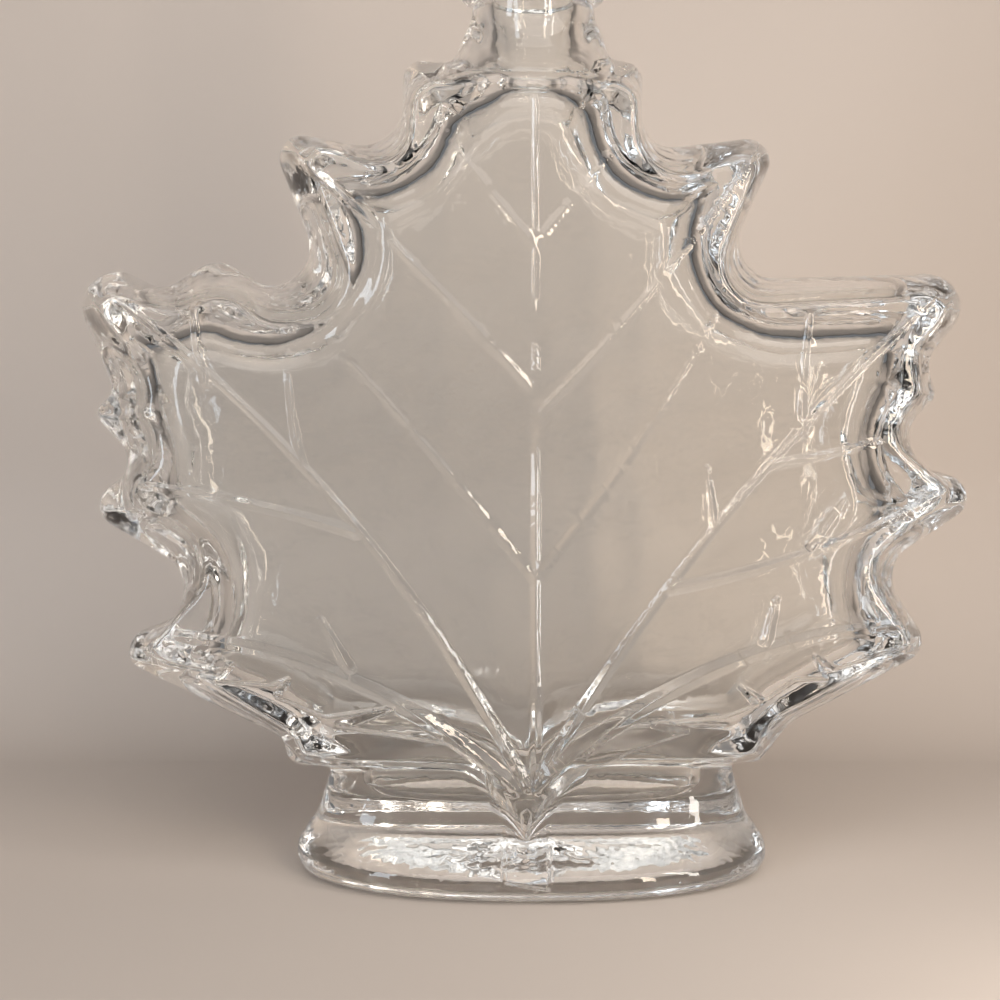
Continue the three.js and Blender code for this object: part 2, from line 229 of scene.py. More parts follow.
class LeafSettings(PropertyGroup):
    """Sizes of the leaf-shaped body."""

    half_depth: FloatProperty(
        name="Half depth", description="Mid-plane to a face beside a vein", default=0.0175, unit="LENGTH",
    )
    crown: FloatProperty(
        name="Crown", description="How far the middle of a face stands out further",
        default=0.0012, unit="LENGTH",
    )
    crown_reach: FloatProperty(
        name="Crown reach", description="Distance from the middle at which the crown ends",
        default=0.062, unit="LENGTH",
    )
    rim_reach: FloatProperty(
        name="Rim reach", description="Furthest in from the edge that the slanted side goes",
        default=0.0095, unit="LENGTH",
    )
    stem_reach: FloatProperty(
        name="Stem reach", description="How far in the slanted side goes at the stem",
        default=0.0055, unit="LENGTH",
    )
    rim_start: FloatProperty(
        name="Rim start", description="Share of the depth at which the side starts to slant",
        default=0.25,
    )
    rim_round: FloatProperty(
        name="Rim rounding", description="Rounding where the slanted side leaves the edge",
        default=0.003, unit="LENGTH",
    )
    face_round: FloatProperty(
        name="Face rounding", description="Rounding where the slanted side meets a face",
        default=0.0012, unit="LENGTH",
    )
    step_depth: FloatProperty(
        name="Step depth", description="Mid-plane to the lower shoulder", default=0.0158, unit="LENGTH",
    )
    step_edge: FloatProperty(
        name="Step edge", description="Half-width of the slope at the toothed step",
        default=0.0006, unit="LENGTH",
    )
    vein_tip: FloatProperty(
        name="Vein tip", description="Share of a vein's size left at its tip", default=0.55,
    )
    fillet: FloatProperty(
        name="Fillet", description="Rounding between the leaf and the waist",
        default=0.0012, unit="LENGTH",
    )


class FootSettings(PropertyGroup):
    """Sizes of the foot, and of the stem's end that lies over it."""

    power: FloatProperty(
        name="Power", description="Squareness of the oval sections", default=2.3,
    )
    stem_x: FloatProperty(
        name="Stem place", description="Middle of the stem's end", default=-0.0011, unit="LENGTH",
    )
    stem_half_width: FloatProperty(
        name="Stem half-width", description="Half-width of the stem's end", default=0.0036, unit="LENGTH",
    )
    stem_rise: FloatProperty(
        name="Stem rise", description="How far the stem's end stands out", default=0.0009, unit="LENGTH",
    )
    stem_low: FloatProperty(
        name="Stem low end", description="Height of the stem's cut end", default=0.0034, unit="LENGTH",
    )


class NeckSettings(PropertyGroup):
    """Sizes of the neck and its screw thread."""

    mouth: FloatProperty(
        name="Mouth", description="Height of the mouth", default=0.155, unit="LENGTH",
    )
    fillet: FloatProperty(
        name="Fillet", description="Rounding between the shoulders and the neck",
        default=0.005, unit="LENGTH",
    )
    thread_rise: FloatProperty(
        name="Thread rise", description="Height of the thread over the neck",
        default=0.00115, unit="LENGTH",
    )
    thread_half: FloatProperty(
        name="Thread half-height", description="Half the height of the thread's section",
        default=0.0011, unit="LENGTH",
    )
    thread_pitch: FloatProperty(
        name="Thread pitch", description="Rise of the thread in a turn", default=0.0032, unit="LENGTH",
    )
    thread_turns: FloatProperty(
        name="Thread turns", description="Turns of the thread", default=1.4,
    )
    thread_low: FloatProperty(
        name="Thread start", description="Height at which the thread starts",
        default=0.1474, unit="LENGTH",
    )


class InsideSettings(PropertyGroup):
    """Sizes of the blown inside."""

    side_wall: FloatProperty(
        name="Side wall", description="Glass between the edge and the inside",
        default=0.006, unit="LENGTH",
    )
    face_wall: FloatProperty(
        name="Face wall", description="Glass between a face and the inside",
        default=0.0034, unit="LENGTH",
    )
    reach: FloatProperty(
        name="Reach", description="How far in from its own edge the inside has its full depth",
        default=0.009, unit="LENGTH",
    )
    power: FloatProperty(
        name="Power", description="Squareness of the inside's rounded edge", default=2.2,
    )
    softness: FloatProperty(
        name="Softness", description="Rounding of the inside's outline", default=0.002, unit="LENGTH",
    )
    blend: FloatProperty(
        name="Blend", description="Rounding between the inside's parts", default=0.005, unit="LENGTH",
    )
    wave: FloatProperty(
        name="Wave", description="Unevenness of the inside's faces", default=0.00006, unit="LENGTH",
    )
    wave_length: FloatProperty(
        name="Wave length", description="Length of the unevenness", default=0.017, unit="LENGTH",
    )


class GlassSettings(PropertyGroup):
    """Fineness of the skin, and the glass itself."""

    pitch: FloatProperty(
        name="Skin pitch", description="Spacing of the skin's points", default=0.0012, unit="LENGTH",
    )
    finest: FloatProperty(
        name="Finest edge", description="Shortest edge that a tight turn of the skin is halved to",
        default=0.00025, unit="LENGTH",
    )
    turn: FloatProperty(
        name="Turn", description="Turn of the skin over an edge above which the edge is halved",
        default=math.radians(18), subtype="ANGLE",
    )
    map_pitch: FloatProperty(
        name="Map pitch", description="Spacing of the depth maps' points", default=0.0002, unit="LENGTH",
    )
    ior: FloatProperty(
        name="IOR", description="Refractive index", default=1.5,
    )
    tint: FloatVectorProperty(
        name="Tint", description="Colour that the glass lets through",
        subtype="COLOR", default=(0.974, 0.98, 0.972),
    )
    ripple: FloatProperty(
        name="Ripple", description="Height of the skin's fine ripple",
        default=0.000025, precision=6, unit="LENGTH",
    )
    ripple_scale: FloatProperty(
        name="Ripple scale", description="Ripples in a metre", default=800,
    )


class StageSettings(PropertyGroup):
    """Floor, light and camera."""

    floor_colour: FloatVectorProperty(
        name="Floor colour", description="Colour of the floor and backdrop",
        subtype="COLOR", default=(0.62, 0.54, 0.48),
    )
    backdrop: FloatProperty(
        name="Backdrop", description="Distance of the backdrop behind the bottle's axis",
        default=0.12, unit="LENGTH",
    )
    # Painted light: radius of the pale pool painted on the backdrop round the bottle
    painted_light_reach: FloatProperty(
        name="Pale reach", description="How far round the bottle the backdrop stays pale",
        default=0.15, unit="LENGTH",
    )
    # Painted shade: share of the colour kept where the backdrop is painted darker away from the bottle
    painted_shade_share: FloatProperty(
        name="Dark share", description="Paleness left away from the bottle", default=0.35,
    )
    gap: FloatProperty(
        name="Gap", description="Air under the bottle", default=0.00015, precision=5, unit="LENGTH",
    )
    target: FloatVectorProperty(
        name="Target", description="Point that the camera looks at",
        subtype="TRANSLATION", default=(-0.0053, 0.0, 0.0615),
    )
    distance: FloatProperty(
        name="Distance", description="Camera to target", default=0.25, unit="LENGTH",
    )
    elevation: FloatProperty(
        name="Elevation", description="Height of the camera over the horizon",
        default=math.radians(6), subtype="ANGLE",
    )
    frame_width: FloatProperty(
        name="Frame width", description="Width that the picture covers at the target",
        default=0.1661, unit="LENGTH",
    )


def arc_points(before, corner, after, step=math.radians(9)):
    """Points on the arc that rounds a corner: the circle of its radius that touches both straight edges."""
    here = np.array(corner[:2], float)
    back = np.array(before[:2]) - here
    ahead = np.array(after[:2]) - here
    back /= np.linalg.norm(back)
    ahead /= np.linalg.norm(ahead)
    half = math.acos(np.clip(back @ ahead, -1, 1)) / 2
    middle = back + ahead
    centre = here + middle / np.linalg.norm(middle) * corner[2] / math.sin(half)
    first = here + back * corner[2] / math.tan(half) - centre
    last = here + ahead * corner[2] / math.tan(half) - centre
    start = math.atan2(first[1], first[0])
    turn = math.atan2(first[0] * last[1] - first[1] * last[0], first @ last)
    angles = start + turn * np.linspace(0, 1, max(3, int(abs(turn) / step)))
    return centre + corner[2] * np.stack((np.cos(angles), np.sin(angles)), axis=1)


def outline(left, right):
    """Closed outline in metres, down the left corners and up the right ones, each rounded by an arc."""
    corners = left + right[::-1]
    arcs = [arc_points(corners[i - 1], corner, corners[(i + 1) % len(corners)])
            for i, corner in enumerate(corners)]
    return np.concatenate(arcs) * MM


def signed_inset(x, z, edge):
    """Distance to the nearest place on a closed edge, positive inside it and negative outside."""
    nearest = np.full(x.shape, np.inf)
    inside = np.zeros(x.shape, bool)
    for (ax, az), (bx, bz) in zip(edge, np.roll(edge, -1, axis=0)):
        ux, uz = bx - ax, bz - az
        length = ux * ux + uz * uz
        if length == 0:
            continue
        share = np.clip(((x - ax) * ux + (z - az) * uz) / length, 0, 1)
        nearest = np.minimum(nearest, (x - ax - share * ux) ** 2 + (z - az - share * uz) ** 2)
        if uz:
            inside ^= ((az > z) != (bz > z)) & (x < ax + (z - az) * ux / uz)
    return np.where(inside, 1, -1) * np.sqrt(nearest)


def smoothstep(low, high, value):
    """Share from 0 at low to 1 at high, as the cubic 3t2 - 2t3."""
    t = np.clip((value - low) / (high - low), 0, 1)
    return t * t * (3 - 2 * t)


def vein_rise(x, z, tip_share, pieces=14):
    """Height of the veins: along each bowed line, a three-sided ridge across, tapering to its tip."""
    height = np.zeros(x.shape)
    for row in VEINS:
        root, tip = np.array(row[:2]) * MM, np.array(row[2:4]) * MM
        bow, half_width, rise = np.array(row[4:]) * MM
        way = tip - root
        left = np.array((-way[1], way[0])) / np.linalg.norm(way)
        control = (root + tip) / 2 + 2 * bow * left
        t = np.linspace(0, 1, pieces + 1)[:, None]
        line = (1 - t) ** 2 * root + 2 * t * (1 - t) * control + t * t * tip
        near = np.full(x.shape, np.inf)
        place = np.zeros(x.shape)
        for i, ((ax, az), (bx, bz)) in enumerate(zip(line[:-1], line[1:])):
            ux, uz = bx - ax, bz - az
            share = np.clip(((x - ax) * ux + (z - az) * uz) / (ux * ux + uz * uz), 0, 1)
            gap = (x - ax - share * ux) ** 2 + (z - az - share * uz) ** 2
            place = np.where(gap < near, (i + share) / pieces, place)
            near = np.minimum(near, gap)
        taper = 1 + (tip_share - 1) * place
        across = np.clip(np.sqrt(near) / (half_width * taper), 0, 1)
        height = np.maximum(height, rise * taper * (1 - across))
    return height


def blurred(values, sigma):
    """Map smoothed by a Gaussian of the given width in cells."""
    across, up = (np.exp(-2 * (np.pi * sigma * np.fft.fftfreq(n)) ** 2) for n in values.shape)
    return np.fft.ifft2(np.fft.fft2(values) * across[:, None] * up[None, :]).real


def through_rows(at, rows, column):
    """Smooth curve through a table: cubic pieces, their slope at a row the harmonic mean of both sides'."""
    table = np.array(rows, float) * MM
    knots, values = table[:, 0], table[:, column]
    gaps = np.diff(knots)
    slopes = np.diff(values) / gaps
    product = slopes[:-1] * slopes[1:]
    total = slopes[:-1] + slopes[1:]
    inner = np.where(product > 0, 2 * product / np.where(total == 0, 1, total), 0)
    tangents = np.concatenate(([slopes[0]], inner, [slopes[-1]]))
    at = np.clip(at, knots[0], knots[-1])
    i = np.clip(np.searchsorted(knots, at) - 1, 0, len(gaps) - 1)
    t = (at - knots[i]) / gaps[i]
    return (values[i] * (1 + 2 * t) * (1 - t) ** 2 + tangents[i] * gaps[i] * t * (1 - t) ** 2
            + values[i + 1] * t * t * (3 - 2 * t) + tangents[i + 1] * gaps[i] * t * t * (t - 1))


def joined(a, b, blend):
    """Field of two bodies made one: the lesser of both, less a parabola where they are close (a fillet)."""
    near = np.maximum(blend - np.abs(a - b), 0) / blend
    return np.minimum(a, b) - near * near * blend / 4


def shared(a, b, blend):
    """Field of what two bodies have in common, with a rounded edge as wide as blend."""
    return -joined(-a, -b, blend)


class Maps:
    """Depths of the leaf over x and z on a fine grid, read between its points by cubic B-splines."""

    def __init__(self, low, high, pitch, leaf, inside):
        self.low, self.pitch = low, pitch
        x, z = (np.arange(a, b, pitch) for a, b in zip(low, high))
        x, z = np.meshgrid(x, z, indexing="ij")
        inset = signed_inset(x, z, outline(LEFT_EDGE, RIGHT_EDGE))
        width = inset - signed_inset(x, z, outline(FACE_LEFT, FACE_RIGHT))
        widest = leaf.stem_reach + (leaf.rim_reach - leaf.stem_reach) * smoothstep(*STEM_TOP, z)
        soft = blurred(inset, EDGE_BLUR / pitch)
        reach = np.hypot(x, z - FACE_MIDDLE) / leaf.crown_reach
        crown = leaf.crown * (1 - np.minimum(reach, 1) ** 2)
        steps = [signed_inset(x, z, np.array(edge) * MM) for edge in (STEP_LEFT, STEP_RIGHT)]
        lowered = smoothstep(-leaf.step_edge, leaf.step_edge, np.maximum(*steps))
        face = leaf.half_depth + crown
        face = face + (leaf.step_depth - face) * lowered
        veins = vein_rise(x, z, leaf.vein_tip) * smoothstep(*VEIN_FADE, inset) * (1 - lowered)
        k = 2 * np.pi / inside.wave_length
        wave = np.sin(k * (x + 0.6 * z)) + np.sin(k * (1.3 * z - 0.5 * x) + 1) + np.sin(2.1 * k * x)
        self.inset = inset + (soft - inset) * smoothstep(*EDGE_KEPT, inset)
        self.inner = blurred(inset, inside.softness / pitch) - inside.side_wall
        self.reach = blurred(np.minimum(width, widest), REACH_BLUR / pitch)
        self.front = face + veins
        self.back = leaf.half_depth + crown
        self.deep = leaf.half_depth - inside.face_wall + inside.wave * wave

    def read(self, values, x, z):
        """Value of a map at x, z: the cubic B-spline over the sixteen grid points around."""
        weights = []
        starts = []
        for at, low in ((x, self.low[0]), (z, self.low[1])):
            place = (at - low) / self.pitch
            start = np.floor(place).astype(int)
            t = place - start
            weights.append(((1 - t) ** 3 / 6, (3 * t ** 3 - 6 * t * t + 4) / 6,
                            (-3 * t ** 3 + 3 * t * t + 3 * t + 1) / 6, t ** 3 / 6))
            starts.append(start - 1)
        return sum(weights[0][i] * weights[1][j] * values[starts[0] + i, starts[1] + j]
                   for i in range(4) for j in range(4))


class Glass:
    """The bottle as a field: negative in the glass, positive outside it and in the hollow."""

    def __init__(self, settings, low, high):
        self.s = settings
        self.maps = Maps((low[0], low[2]), (high[0], high[2]), settings.glass.map_pitch,
                         settings.leaf, settings.inside)

    def rim(self, inset, reach, y, depth):
        """Body within its edge, its slanted sides and its two faces, rounded where two of them meet."""
        leaf = self.s.leaf
        out = np.abs(y)
        start = leaf.rim_start * depth
        side = (out - start) * reach - inset * (depth - start)
        side = side / np.hypot(reach, depth - start)
        return shared(shared(-inset, side, leaf.rim_round), out - depth, leaf.face_round)

    def pillow(self, inset, y, depth):
        """Body between two domed faces: superellipse of the distance left to the full depth and of y."""
        inside = self.s.inside
        left = np.maximum(1 - inset / inside.reach, 0)
        across = left ** inside.power + (np.abs(y) / depth) ** inside.power
        return (across ** (1 / inside.power) - 1) * inside.reach

    def oval(self, x, y, z, sections, extra=0.0):
        """Stack of superellipses whose half-width and half-depth follow the height."""
        power = self.s.foot.power
        half_width = through_rows(z, sections, 1)
        half_depth = through_rows(z, sections, 2) + extra
        across = (np.abs(x) / half_width) ** power + (np.abs(y) / half_depth) ** power
        return (across ** (1 / power) - 1) * half_depth

    def stem_end(self, x, y, z):
        """Rise of the stem's end over the foot's front: a band with soft sides and a slanted lower end."""
        foot = self.s.foot
        off = np.abs(x - foot.stem_x)
        half = foot.stem_half_width
        across = 1 - smoothstep(half - 1.5 * STEM_SOFT, half + STEM_SOFT, off)
        low = foot.stem_low - STEM_SLANT * (x - foot.stem_x)
        along = smoothstep(low - STEM_SOFT, low + 1.5 * STEM_SOFT, z)
        return np.where(y < 0, foot.stem_rise * across * along, 0)

    def thread(self, x, y, z):
        """Rise of the thread: a rounded ridge along a helix, fading in and out over its ends."""
        neck = self.s.neck
        angle = np.arctan2(y, x) / (2 * np.pi) % 1
        rise = 0
        for turn in range(math.ceil(neck.thread_turns) + 1):
            place = angle + turn
            ends = smoothstep(0, THREAD_FADE, place) * smoothstep(0, THREAD_FADE, neck.thread_turns - place)
            off = (z - neck.thread_low - neck.thread_pitch * place) / neck.thread_half
            rise = np.maximum(rise, neck.thread_rise * ends * np.clip(1 - off * off, 0, 1))
        return rise

    def outer(self, x, y, z, inset, reach, depth):
        """Leaf, foot and neck joined with fillets."""
        s = self.s
        leaf = self.rim(inset, reach, y, depth)
        foot = self.oval(x, y, z, FOOT_SECTIONS, self.stem_end(x, y, z))
        foot = shared(foot, -z, SMALL_ROUND)
        foot = shared(foot, z - FOOT_SECTIONS[-1][0] * MM, HIDDEN_ROUND)
        neck = np.hypot(x, y) - through_rows(z, NECK_SECTIONS, 1) - self.thread(x, y, z)
        neck = shared(neck, z - s.neck.mouth, SMALL_ROUND)
        neck = shared(neck, NECK_SECTIONS[0][0] * MM - z, HIDDEN_ROUND)
        return joined(joined(leaf, foot, s.leaf.fillet), neck, s.neck.fillet)

    def hollow(self, x, y, z, inner, deep):
        """Inside of the leaf, of the waist and of the neck joined with soft blends."""
        s = self.s
        leaf = self.pillow(inner, y, deep)
        well = self.oval(x, y, z, WELL_SECTIONS)
        well = shared(well, WELL_SECTIONS[0][0] * MM - z, HIDDEN_ROUND)
        well = shared(well, z - WELL_SECTIONS[-1][0] * MM, HIDDEN_ROUND)
        bore = np.hypot(x, y) - through_rows(z, BORE_SECTIONS, 1)
        bore = shared(bore, BORE_SECTIONS[0][0] * MM - z, HIDDEN_ROUND)
        return joined(joined(leaf, well, s.inside.blend), bore, s.inside.blend)

    def between(self, x, y, z, inset, reach, depth, inner, deep):
        """Glass between the outside and the hollow, from the maps' values."""
        outside = self.outer(x, y, z, inset, reach, depth)
        return shared(outside, -self.hollow(x, y, z, inner, deep), LIP_ROUND)

    def __call__(self, x, y, z):
        m = self.maps
        inset, reach, inner, deep = (m.read(values, x, z) for values in (m.inset, m.reach, m.inner, m.deep))
        depth = np.where(y < 0, m.read(m.front, x, z), m.read(m.back, x, z))
        return self.between(x, y, z, inset, reach, depth, inner, deep)

    def slope(self, points, nudge=0.00005):
        """Field at points and its slope, by a small step along each axis."""
        value = self(*points.T)
        steps = np.eye(3) * nudge
        return value, np.stack([(self(*(points + step).T) - value) / nudge for step in steps], axis=1)


def cut(axis, first, last):
    """Index of a block that takes first:last along one axis and all of the others."""
    index = [slice(None)] * 3
    index[axis] = slice(first, last)
    return tuple(index)


def surface_net(field, low, pitch):
    """Closed net of quads where a sampled field changes sign: one point in each cell that the surface
    crosses, at the mean of the crossings on the cell's edges, and one quad for each crossed grid edge."""
    cells = tuple(n - 1 for n in field.shape)
    count = np.zeros(cells)
    total = np.zeros(cells + (3,))
    crossings = []
    for axis in range(3):
        u, v = (axis + 1) % 3, (axis + 2) % 3
        start, end = field[cut(axis, None, -1)], field[cut(axis, 1, None)]
        crossed = (start < 0) != (end < 0)
        share = np.where(crossed, start / np.where(crossed, start - end, 1), 0)
        crossings.append((axis, u, v, crossed, start < 0))
        for du in (0, 1):
            for dv in (0, 1):
                pick = [slice(None)] * 3
                pick[u], pick[v] = slice(du, du + cells[u]), slice(dv, dv + cells[v])
                hit = crossed[tuple(pick)]
                count += hit
                total[..., axis] += share[tuple(pick)]
                total[..., u] += du * hit
                total[..., v] += dv * hit
    used = count > 0
    number = np.full(cells, -1)
    number[used] = np.arange(used.sum())
    points = low + pitch * (np.argwhere(used) + total[used] / count[used][:, None])
    quads = []
    for axis, u, v, crossed, leaving in crossings:
        at = np.argwhere(crossed)
        out = leaving[crossed]
        keep = (at[:, u] > 0) & (at[:, v] > 0) & (at[:, u] < cells[u]) & (at[:, v] < cells[v])
        at, out = at[keep], out[keep]
        ring = []
        for du, dv in ((-1, -1), (0, -1), (0, 0), (-1, 0)):
            cell = at.copy()
            cell[:, u] += du
            cell[:, v] += dv
            ring.append(number[tuple(cell.T)])
        ring = np.stack(ring, axis=1)
        quads.append(np.where(out[:, None], ring, ring[:, ::-1]))
    return points, np.concatenate(quads)


def onto(glass, points, reach, rounds=3):
    """Points moved along the field's slope onto the surface, and their normals."""
    for _ in range(rounds):
        value, slope = glass.slope(points)
        move = (value / np.maximum((slope ** 2).sum(1), 1e-6))[:, None] * slope
        length = np.linalg.norm(move, axis=1, keepdims=True)
        points = points - move * np.minimum(1, reach / np.maximum(length, 1e-12))
    slope = glass.slope(points)[1]
    return points, slope / np.linalg.norm(slope, axis=1, keepdims=True)


def halved(glass, points, normals, triangles, turn, finest):
    """Triangles with the edges halved over which the skin turns tightly, the new points on the surface."""
    edges = np.sort(np.stack((triangles, np.roll(triangles, -1, axis=1)), axis=2).reshape(-1, 2), axis=1)
    edges, index = np.unique(edges, axis=0, return_inverse=True)
    a, b = edges.T
    length = np.linalg.norm(points[a] - points[b], axis=1)
    split = ((normals[a] * normals[b]).sum(1) < math.cos(turn)) & (length > 2 * finest)
    middles, middle_normals = onto(glass, (points[a[split]] + points[b[split]]) / 2, finest)
    number = np.full(len(edges), -1)
    number[split] = len(points) + np.arange(split.sum())
    points = np.concatenate((points, middles))
    normals = np.concatenate((normals, middle_normals))
    middle = number[index.reshape(-1, 3)]
    marks = (middle >= 0).sum(1)
    lead = np.where(marks == 2, np.argmin(middle, axis=1) + 1, 0)
    lead = np.where(marks == 1, np.argmax(middle >= 0, axis=1), lead)
    order = (lead[:, None] + np.arange(3)) % 3
    c, m = (np.take_along_axis(rows, order, axis=1) for rows in (triangles, middle))
    one, two, three = (marks == n for n in (1, 2, 3))
    c1, m1, c2, m2, c3, m3 = c[one], m[one], c[two], m[two], c[three], m[three]
    parts = [
        triangles[marks == 0],
        np.stack((c1[:, 0], m1[:, 0], c1[:, 2]), axis=1), np.stack((m1[:, 0], c1[:, 1], c1[:, 2]), axis=1),
        np.stack((m2[:, 0], c2[:, 1], m2[:, 1]), axis=1), np.stack((c2[:, 0], m2[:, 0], m2[:, 1]), axis=1),
        np.stack((c2[:, 0], m2[:, 1], c2[:, 2]), axis=1),
        np.stack((c3[:, 0], m3[:, 0], m3[:, 2]), axis=1), np.stack((c3[:, 1], m3[:, 1], m3[:, 0]), axis=1),
        np.stack((c3[:, 2], m3[:, 2], m3[:, 1]), axis=1), m3,
    ]
    return points, normals, np.concatenate(parts)


def glass_skin(settings, low, high):
    """Points, triangles and normals of the bottle's skin: the net over its field, put onto the surface and
    made finer where the surface turns tightly."""
    pitch = settings.glass.pitch
    low, high = np.array(low) - SKIN_MARGIN, np.array(high) + SKIN_MARGIN
    glass = Glass(settings, low - MAP_MARGIN, high + MAP_MARGIN)
    x, y, z = (np.arange(a, b, pitch) for a, b in zip(low, high))
    m = glass.maps
    flat = np.meshgrid(x, z, indexing="ij")
    maps = (m.inset, m.reach, m.inner, m.deep, m.front, m.back)
    inset, reach, inner, deep, front, back = (m.read(values, *flat)[:, None, :] for values in maps)
    x, y, z = x[:, None, None], y[None, :, None], z[None, None, :]
    depth = np.where(y < 0, front, back)
    field = glass.between(x, y, z, inset, reach, depth, inner, deep)
    points, quads = surface_net(field, low, pitch)
    points, normals = onto(glass, points, 0.6 * pitch)
    triangles = np.concatenate((quads[:, (0, 1, 2)], quads[:, (0, 2, 3)]))
    for _ in range(2):
        points, normals, triangles = halved(glass, points, normals, triangles,
                                            settings.glass.turn, settings.glass.finest)
    return points, triangles, normals


def make_object(name, points, faces, material, normals=None):
    """Object with a smooth mesh, put at the origin with its place in its points."""
    mesh = bpy.data.meshes.new(name)
    mesh.from_pydata(points.tolist(), [], faces.tolist())
    mesh.shade_smooth()
    if normals is not None:
        mesh.normals_split_custom_set_from_vertices(normals.tolist())
    mesh.materials.append(material)
    made = bpy.data.objects.new(name, mesh)
    bpy.context.scene.collection.objects.link(made)
    return made


def new_material(name):
    """Empty node material: its node tree, its Principled node and itself."""
    material = bpy.data.materials.new(name)
    material.use_nodes = True
    tree = material.node_tree
    return tree, tree.nodes["Principled BSDF"], material


def noise(tree, scale, detail=2.0):
    """Noise on the object's own coordinates."""
    place = tree.nodes.new("ShaderNodeTexCoord")
    made = tree.nodes.new("ShaderNodeTexNoise")
    made.inputs["Scale"].default_value = scale
    made.inputs["Detail"].default_value = detail
    tree.links.new(place.outputs["Object"], made.inputs["Vector"])
    return made.outputs["Fac"]


def glass_material(settings):
    """Clear polished glass with a fine ripple."""
    tree, shader, material = new_material("clear_glass")
    shader.inputs["Base Color"].default_value = (*settings.tint, 1)
    shader.inputs["IOR"].default_value = settings.ior
    shader.inputs["Transmission Weight"].default_value = 1
    shader.inputs["Roughness"].default_value = 0
    bump = tree.nodes.new("ShaderNodeBump")
    bump.inputs["Distance"].default_value = settings.ripple
    tree.links.new(noise(tree, settings.ripple_scale, 0.0), bump.inputs["Height"])
    tree.links.new(bump.outputs["Normal"], shader.inputs["Normal"])
    return material


def mottle_group():
    """Group that wanders between two colours by noise on the object's own coordinates."""
    group = bpy.data.node_groups.get("mottle")
    if group is not None:
        return group
    group = bpy.data.node_groups.new("mottle", "ShaderNodeTree")
    for name in ("Darker", "Paler"):
        group.interface.new_socket(name, in_out="INPUT", socket_type="NodeSocketColor")
    group.interface.new_socket("Colour", in_out="OUTPUT", socket_type="NodeSocketColor")
    given = group.nodes.new("NodeGroupInput")
    result = group.nodes.new("NodeGroupOutput")
    ramp = group.nodes.new("ShaderNodeMix")
    ramp.data_type = "RGBA"
    group.links.new(noise(group, MOTTLE_SCALE), ramp.inputs["Factor"])
    group.links.new(given.outputs["Darker"], ramp.inputs["A"])
    group.links.new(given.outputs["Paler"], ramp.inputs["B"])
    group.links.new(ramp.outputs["Result"], result.inputs["Colour"])
    return group


def floor_material(name, colour):
    """Matt pale surface with a faint mottle."""
    tree, shader, material = new_material(name)
    mottle = tree.nodes.new("ShaderNodeGroup")
    mottle.node_tree = mottle_group()
    mottle.inputs["Darker"].default_value = (*((1 - MOTTLE) * c for c in colour), 1)
    mottle.inputs["Paler"].default_value = (*((1 + MOTTLE) * c for c in colour), 1)
    tree.links.new(mottle.outputs["Colour"], shader.inputs["Base Color"])
    shader.inputs["Roughness"].default_value = 0.8
    return tree, shader, material


def backdrop_material(settings):
    """The floor's surface with painted shade: a painted pool of light stays pale round the bottle, the
    colour darkens away from it, and it is seen through from behind.
    """
    tree, shader, material = floor_material("backdrop", settings.floor_colour)
    place = tree.nodes.new("ShaderNodeTexCoord")
    off = tree.nodes.new("ShaderNodeVectorMath")
    off.operation = "DISTANCE"
    off.inputs[1].default_value = (0, settings.backdrop, settings.target[2])
    tree.links.new(place.outputs["Object"], off.inputs[0])
    # Painted shade: the colour darkens with distance from the bottle's middle, a painted falloff of light
    # that leaves a pale pool round the bottle
    dark = tree.nodes.new("ShaderNodeMapRange")
    dark.interpolation_type = "SMOOTHSTEP"
    dark.inputs["From Min"].default_value = settings.painted_light_reach
    dark.inputs["From Max"].default_value = 1.8 * settings.painted_light_reach
    tree.links.new(off.outputs["Value"], dark.inputs["Value"])
    # Mixes the pale colour towards a painted-shade copy of the floor colour
    shade = tree.nodes.new("ShaderNodeMix")
    shade.data_type = "RGBA"
    shade.inputs["B"].default_value = (*(settings.painted_shade_share * c for c in settings.floor_colour), 1)
    pale = shader.inputs["Base Color"].links[0].from_socket
    tree.links.new(dark.outputs["Result"], shade.inputs["Factor"])
    tree.links.new(pale, shade.inputs["A"])
    tree.links.new(shade.outputs["Result"], shader.inputs["Base Color"])
    side = tree.nodes.new("ShaderNodeNewGeometry")
    front = tree.nodes.new("ShaderNodeMath")
    front.operation = "SUBTRACT"
    front.inputs[0].default_value = 1
    tree.links.new(side.outputs["Backfacing"], front.inputs[1])
    tree.links.new(front.outputs["Value"], shader.inputs["Alpha"])
    return material


def carried(half_width, y, z):
    """Sheet made by carrying a line of points (y, z) along X, its faces towards -Y and up."""
    ends = [np.stack((np.full(y.size, x), y, z), axis=1) for x in (-half_width, half_width)]
    first = np.arange(y.size - 1)
    return np.concatenate(ends), np.stack((first, first + y.size, first + y.size + 1, first + 1), axis=1)


def cove(half_width, back, radius, height, count=24):
    """Backdrop that rises out of the floor: quarter circle, then straight up, carried along X."""
    turn = np.linspace(0, math.pi / 2, count)
    y = np.append(back - radius + radius * np.sin(turn), back)
    z = np.append(radius - radius * np.cos(turn), height)
    return carried(half_width, y, z)


def area_light(name, place, target, size, power, colour):
    """Soft light that faces a target."""
    data = bpy.data.lights.new(name, "AREA")
    data.shape = "RECTANGLE"
    data.size, data.size_y = size
    data.energy = power
    data.color = colour
    made = bpy.data.objects.new(name, data)
    made.location = place
    made.rotation_euler = (Vector(target) - Vector(place)).to_track_quat("-Z", "Y").to_euler()
    made.visible_camera = False
    bpy.context.scene.collection.objects.link(made)
    return made


class BOTTLE_OT_glass(Operator):
    """Build the glass bottle over the frame's node"""

    bl_idname = "maple_bottle.glass"
    bl_label = "Build the glass"

    def execute(self, context):
        settings = context.scene.maple_bottle
        low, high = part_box("bottle")
        points, triangles, normals = glass_skin(settings, low, high)
        piece = make_object("bottle_glass", points, triangles, glass_material(settings.glass), normals)
        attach(piece, "root")
        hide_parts("bottle")
        return {"FINISHED"}


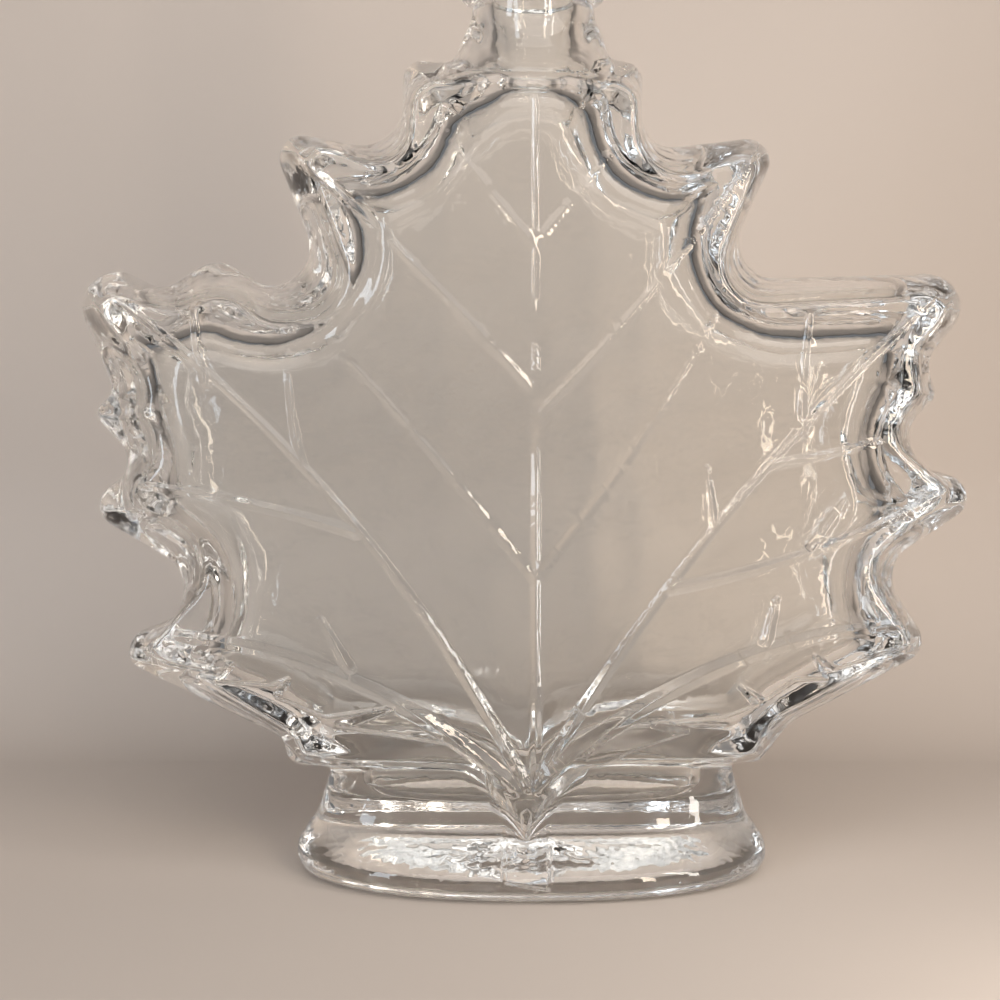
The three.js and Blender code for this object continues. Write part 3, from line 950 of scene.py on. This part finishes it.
class BOTTLE_OT_stage(Operator):
    """Build the floor, the lights and the camera"""

    bl_idname = "maple_bottle.stage"
    bl_label = "Build the stage"

    def execute(self, context):
        settings = context.scene.maple_bottle.stage
        scene = context.scene
        flat = carried(STAGE_REACH, np.array((-STAGE_REACH, STAGE_REACH)), np.full(2, -settings.gap))
        make_object("floor", *flat, floor_material("floor", settings.floor_colour)[2])
        wall = cove(STAGE_REACH, settings.backdrop, COVE_RADIUS, COVE_HEIGHT)
        make_object("backdrop", *wall, backdrop_material(settings))
        for row in LIGHTS:
            area_light(*row)
        world = bpy.data.worlds.new("studio")
        world.use_nodes = True
        world.node_tree.nodes["Background"].inputs["Color"].default_value = (*SURROUND, 1)
        world.node_tree.nodes["Background"].inputs["Strength"].default_value = 1
        scene.world = world
        scene.view_settings.view_transform = "Standard"
        scene.cycles.max_bounces = BOUNCES
        scene.cycles.transmission_bounces = BOUNCES
        scene.cycles.glossy_bounces = BOUNCES
        scene.cycles.diffuse_bounces = 1
        data = bpy.data.cameras.new("camera")
        data.lens = data.sensor_width * settings.distance / settings.frame_width
        camera = bpy.data.objects.new("camera", data)
        target = Vector(settings.target)
        back = Vector((0, -math.cos(settings.elevation), math.sin(settings.elevation)))
        camera.location = target + back * settings.distance
        camera.rotation_euler = (-back).to_track_quat("-Z", "Y").to_euler()
        data.clip_start = 0.01
        scene.collection.objects.link(camera)
        scene.camera = camera
        return {"FINISHED"}


class BottleSettings(PropertyGroup):
    """All settings of the bottle and its stage."""

    leaf: PointerProperty(type=LeafSettings)
    foot: PointerProperty(type=FootSettings)
    neck: PointerProperty(type=NeckSettings)
    inside: PointerProperty(type=InsideSettings)
    glass: PointerProperty(type=GlassSettings)
    stage: PointerProperty(type=StageSettings)


class BOTTLE_PT_panel(Panel):
    """Settings and operators in the sidebar"""

    bl_label = "Maple leaf bottle"
    bl_idname = "BOTTLE_PT_panel"
    bl_space_type = "VIEW_3D"
    bl_region_type = "UI"
    bl_category = "Bottle"

    def draw(self, context):
        settings = context.scene.maple_bottle
        for name in ("leaf", "foot", "neck", "inside", "glass", "stage"):
            group = getattr(settings, name)
            box = self.layout.box()
            box.label(text=name.capitalize())
            for prop in group.__annotations__:
                box.prop(group, prop)
        self.layout.operator(BOTTLE_OT_glass.bl_idname)
        self.layout.operator(BOTTLE_OT_stage.bl_idname)


CLASSES = (LeafSettings, FootSettings, NeckSettings, InsideSettings, GlassSettings, StageSettings,
           BottleSettings, BOTTLE_OT_glass, BOTTLE_OT_stage, BOTTLE_PT_panel)


def register():
    for cls in CLASSES:
        bpy.utils.register_class(cls)
    bpy.types.Scene.maple_bottle = PointerProperty(type=BottleSettings)


def unregister():
    del bpy.types.Scene.maple_bottle
    for cls in reversed(CLASSES):
        bpy.utils.unregister_class(cls)


def main():
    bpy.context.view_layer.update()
    register()
    bpy.ops.maple_bottle.glass()
    bpy.ops.maple_bottle.stage()


if __name__ == "__main__":
    main()
